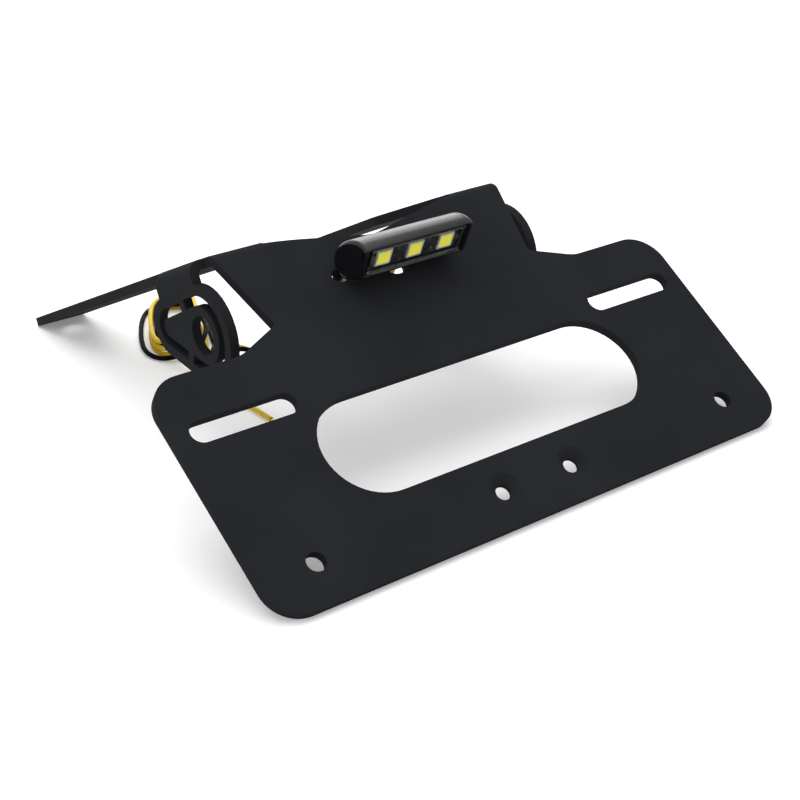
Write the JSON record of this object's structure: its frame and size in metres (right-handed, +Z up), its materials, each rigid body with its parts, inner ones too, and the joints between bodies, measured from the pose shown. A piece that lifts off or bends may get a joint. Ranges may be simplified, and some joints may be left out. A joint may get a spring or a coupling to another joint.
{
  "type": "motorcycle tail tidy",
  "caption": "Folded black sheet bracket that holds a motorcycle number plate, with a small LED plate lamp and its leads.",
  "frame": {"origin": "middle of the bracket's footprint, at the surface that it stands on", "axes": "+X to the right as the plate face is read, +Y from the plate's lower edge to the prong tips, +Z up"},
  "size_m": [0.19, 0.2178, 0.0675],
  "materials": {
    "powder_coated_steel": "matte powder coat",
    "lamp_black": "black enamel",
    "clear_lens": "clear",
    "seal_rubber": "matte",
    "circuit_board": "satin",
    "led": "satin",
    "chip_ceramic": "satin",
    "zinc_plate": "zinc plated",
    "wire_black": "satin",
    "wire_yellow": "satin",
    "tinned_copper": "tinned"
  },
  "bodies": {
    "root": {"bracket": "powder_coated_steel", "lamp_housing": "lamp_black", "lamp_lens": "clear_lens", "lens_seal": "seal_rubber", "lamp_board": "circuit_board", "led_left": "led", "led_middle": "led", "led_right": "led", "resistors": "chip_ceramic", "polarity_diode": "chip_ceramic", "lamp_spacer_left": "seal_rubber", "lamp_spacer_right": "seal_rubber", "flat_washer_left": "zinc_plate", "flat_washer_right": "zinc_plate", "spring_washer_left": "zinc_plate", "spring_washer_right": "zinc_plate", "lamp_screw_left": "zinc_plate", "lamp_screw_right": "zinc_plate", "wire_black": "wire_black", "wire_yellow": "wire_yellow", "wire_coil": "wire_yellow", "tail_black": "wire_black", "tail_yellow": "wire_yellow", "bare_end_black": "tinned_copper", "bare_end_yellow": "tinned_copper"}
  },
  "joints": []
}
